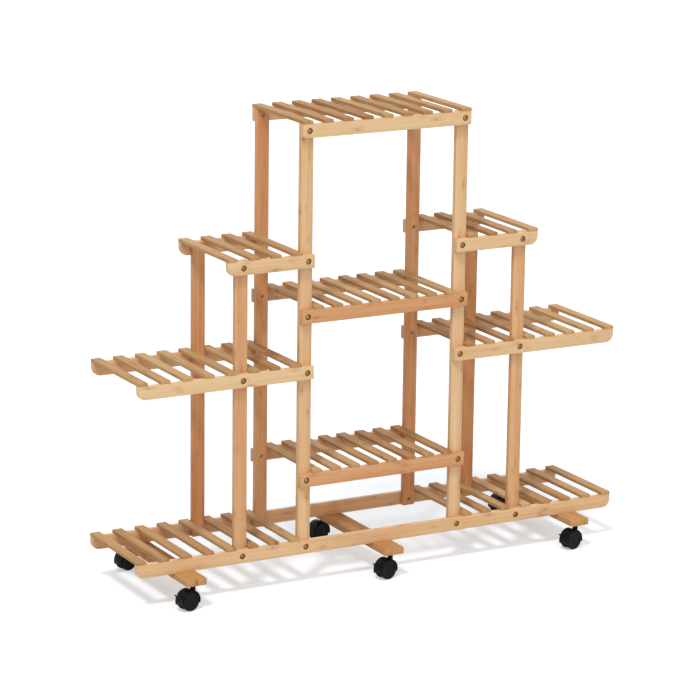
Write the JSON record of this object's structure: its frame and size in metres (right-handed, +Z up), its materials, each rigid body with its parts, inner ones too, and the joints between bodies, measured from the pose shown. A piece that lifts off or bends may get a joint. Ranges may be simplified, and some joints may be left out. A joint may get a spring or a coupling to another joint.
{
  "type": "plant stand",
  "caption": "Stepped bamboo plant stand: slatted decks on laths around a tall open centre bay, carried on cross boards with paired-wheel swivel castors, the front ones braked",
  "frame": {"origin": "on the floor under the middle of the stand's bounding box", "axes": "+X along the length to the right, +Y from the front face to the rear, +Z up"},
  "size_m": [0.996, 0.295, 0.8555],
  "materials": {
    "bamboo_post": "satin clear lacquer over light bamboo",
    "bamboo_deck": "satin clear lacquer over light bamboo",
    "bamboo_board": "satin clear lacquer over light bamboo",
    "castor_plastic": "black moulded plastic, satin",
    "wheel_plastic": "black moulded plastic, satin",
    "brake_plastic": "black moulded plastic, satin",
    "steel": "zinc-plated steel"
  },
  "bodies": {
    "frame": {"centre_post_front_left": "bamboo_post", "outer_post_front_left": "bamboo_post", "centre_post_front_right": "bamboo_post", "outer_post_front_right": "bamboo_post", "centre_post_rear_left": "bamboo_post", "outer_post_rear_left": "bamboo_post", "centre_post_rear_right": "bamboo_post", "outer_post_rear_right": "bamboo_post", "top_deck": "bamboo_deck", "centre_upper_deck": "bamboo_deck", "centre_lower_deck": "bamboo_deck", "bottom_deck": "bamboo_deck", "side_upper_deck_left": "bamboo_deck", "side_upper_deck_right": "bamboo_deck", "side_lower_deck_left": "bamboo_deck", "side_lower_deck_right": "bamboo_deck", "castor_board_left": "bamboo_board", "castor_board_middle": "bamboo_board", "castor_board_right": "bamboo_board", "castor_front_left_stem": "steel", "castor_rear_left_stem": "steel", "castor_front_middle_stem": "steel", "castor_rear_middle_stem": "steel", "castor_front_right_stem": "steel", "castor_rear_right_stem": "steel"},
    "castor_front_left_swivel": {"castor_front_left_hood": "castor_plastic", "castor_front_left_axle": "steel"},
    "castor_front_left_wheel_front": {"castor_front_left_wheel_front": "wheel_plastic"},
    "castor_front_left_wheel_rear": {"castor_front_left_wheel_rear": "wheel_plastic"},
    "castor_front_left_brake_lever": {"castor_front_left_brake_lever": "brake_plastic"},
    "castor_rear_left_swivel": {"castor_rear_left_hood": "castor_plastic", "castor_rear_left_axle": "steel"},
    "castor_rear_left_wheel_front": {"castor_rear_left_wheel_front": "wheel_plastic"},
    "castor_rear_left_wheel_rear": {"castor_rear_left_wheel_rear": "wheel_plastic"},
    "castor_front_middle_swivel": {"castor_front_middle_hood": "castor_plastic", "castor_front_middle_axle": "steel"},
    "castor_front_middle_wheel_front": {"castor_front_middle_wheel_front": "wheel_plastic"},
    "castor_front_middle_wheel_rear": {"castor_front_middle_wheel_rear": "wheel_plastic"},
    "castor_front_middle_brake_lever": {"castor_front_middle_brake_lever": "brake_plastic"},
    "castor_rear_middle_swivel": {"castor_rear_middle_hood": "castor_plastic", "castor_rear_middle_axle": "steel"},
    "castor_rear_middle_wheel_front": {"castor_rear_middle_wheel_front": "wheel_plastic"},
    "castor_rear_middle_wheel_rear": {"castor_rear_middle_wheel_rear": "wheel_plastic"},
    "castor_front_right_swivel": {"castor_front_right_hood": "castor_plastic", "castor_front_right_axle": "steel"},
    "castor_front_right_wheel_front": {"castor_front_right_wheel_front": "wheel_plastic"},
    "castor_front_right_wheel_rear": {"castor_front_right_wheel_rear": "wheel_plastic"},
    "castor_front_right_brake_lever": {"castor_front_right_brake_lever": "brake_plastic"},
    "castor_rear_right_swivel": {"castor_rear_right_hood": "castor_plastic", "castor_rear_right_axle": "steel"},
    "castor_rear_right_wheel_front": {"castor_rear_right_wheel_front": "wheel_plastic"},
    "castor_rear_right_wheel_rear": {"castor_rear_right_wheel_rear": "wheel_plastic"}
  },
  "joints": [
    {"name": "castor_front_left_swivel_turn", "type": "hinge", "parent": "frame", "child": "castor_front_left_swivel", "pos_m": [-0.4025, -0.13, 0.0345], "axis": [0, 0, 1], "continuous": true},
    {"name": "castor_front_left_wheel_front_spin", "type": "hinge", "parent": "castor_front_left_swivel", "child": "castor_front_left_wheel_front", "pos_m": [-0.41139, -0.14042, 0.01782], "axis": [-0.225, 0.9744, 0], "continuous": true},
    {"name": "castor_front_left_wheel_rear_spin", "type": "hinge", "parent": "castor_front_left_swivel", "child": "castor_front_left_wheel_rear", "pos_m": [-0.41505, -0.12453, 0.01782], "axis": [-0.225, 0.9744, 0], "continuous": true},
    {"name": "castor_front_left_brake_press", "type": "hinge", "parent": "castor_front_left_swivel", "child": "castor_front_left_brake_lever", "pos_m": [-0.42419, -0.13501, 0.02432], "axis": [0.225, -0.9744, 0], "range_deg": [0, 8]},
    {"name": "castor_rear_left_swivel_turn", "type": "hinge", "parent": "frame", "child": "castor_rear_left_swivel", "pos_m": [-0.4025, 0.13, 0.0345], "axis": [0, 0, 1], "continuous": true},
    {"name": "castor_rear_left_wheel_front_spin", "type": "hinge", "parent": "castor_rear_left_swivel", "child": "castor_rear_left_wheel_front", "pos_m": [-0.41139, 0.11958, 0.01782], "axis": [-0.225, 0.9744, 0], "continuous": true},
    {"name": "castor_rear_left_wheel_rear_spin", "type": "hinge", "parent": "castor_rear_left_swivel", "child": "castor_rear_left_wheel_rear", "pos_m": [-0.41505, 0.13547, 0.01782], "axis": [-0.225, 0.9744, 0], "continuous": true},
    {"name": "castor_front_middle_swivel_turn", "type": "hinge", "parent": "frame", "child": "castor_front_middle_swivel", "pos_m": [0, -0.13, 0.0345], "axis": [0, 0, 1], "continuous": true},
    {"name": "castor_front_middle_wheel_front_spin", "type": "hinge", "parent": "castor_front_middle_swivel", "child": "castor_front_middle_wheel_front", "pos_m": [-0.00889, -0.14042, 0.01782], "axis": [-0.225, 0.9744, 0], "continuous": true},
    {"name": "castor_front_middle_wheel_rear_spin", "type": "hinge", "parent": "castor_front_middle_swivel", "child": "castor_front_middle_wheel_rear", "pos_m": [-0.01255, -0.12453, 0.01782], "axis": [-0.225, 0.9744, 0], "continuous": true},
    {"name": "castor_front_middle_brake_press", "type": "hinge", "parent": "castor_front_middle_swivel", "child": "castor_front_middle_brake_lever", "pos_m": [-0.02169, -0.13501, 0.02432], "axis": [0.225, -0.9744, 0], "range_deg": [0, 8]},
    {"name": "castor_rear_middle_swivel_turn", "type": "hinge", "parent": "frame", "child": "castor_rear_middle_swivel", "pos_m": [0, 0.13, 0.0345], "axis": [0, 0, 1], "continuous": true},
    {"name": "castor_rear_middle_wheel_front_spin", "type": "hinge", "parent": "castor_rear_middle_swivel", "child": "castor_rear_middle_wheel_front", "pos_m": [-0.00889, 0.11958, 0.01782], "axis": [-0.225, 0.9744, 0], "continuous": true},
    {"name": "castor_rear_middle_wheel_rear_spin", "type": "hinge", "parent": "castor_rear_middle_swivel", "child": "castor_rear_middle_wheel_rear", "pos_m": [-0.01255, 0.13547, 0.01782], "axis": [-0.225, 0.9744, 0], "continuous": true},
    {"name": "castor_front_right_swivel_turn", "type": "hinge", "parent": "frame", "child": "castor_front_right_swivel", "pos_m": [0.4025, -0.13, 0.0345], "axis": [0, 0, 1], "continuous": true},
    {"name": "castor_front_right_wheel_front_spin", "type": "hinge", "parent": "castor_front_right_swivel", "child": "castor_front_right_wheel_front", "pos_m": [0.39361, -0.14042, 0.01782], "axis": [-0.225, 0.9744, 0], "continuous": true},
    {"name": "castor_front_right_wheel_rear_spin", "type": "hinge", "parent": "castor_front_right_swivel", "child": "castor_front_right_wheel_rear", "pos_m": [0.38995, -0.12453, 0.01782], "axis": [-0.225, 0.9744, 0], "continuous": true},
    {"name": "castor_front_right_brake_press", "type": "hinge", "parent": "castor_front_right_swivel", "child": "castor_front_right_brake_lever", "pos_m": [0.38081, -0.13501, 0.02432], "axis": [0.225, -0.9744, 0], "range_deg": [0, 8]},
    {"name": "castor_rear_right_swivel_turn", "type": "hinge", "parent": "frame", "child": "castor_rear_right_swivel", "pos_m": [0.4025, 0.13, 0.0345], "axis": [0, 0, 1], "continuous": true},
    {"name": "castor_rear_right_wheel_front_spin", "type": "hinge", "parent": "castor_rear_right_swivel", "child": "castor_rear_right_wheel_front", "pos_m": [0.39361, 0.11958, 0.01782], "axis": [-0.225, 0.9744, 0], "continuous": true},
    {"name": "castor_rear_right_wheel_rear_spin", "type": "hinge", "parent": "castor_rear_right_swivel", "child": "castor_rear_right_wheel_rear", "pos_m": [0.38995, 0.13547, 0.01782], "axis": [-0.225, 0.9744, 0], "continuous": true}
  ]
}
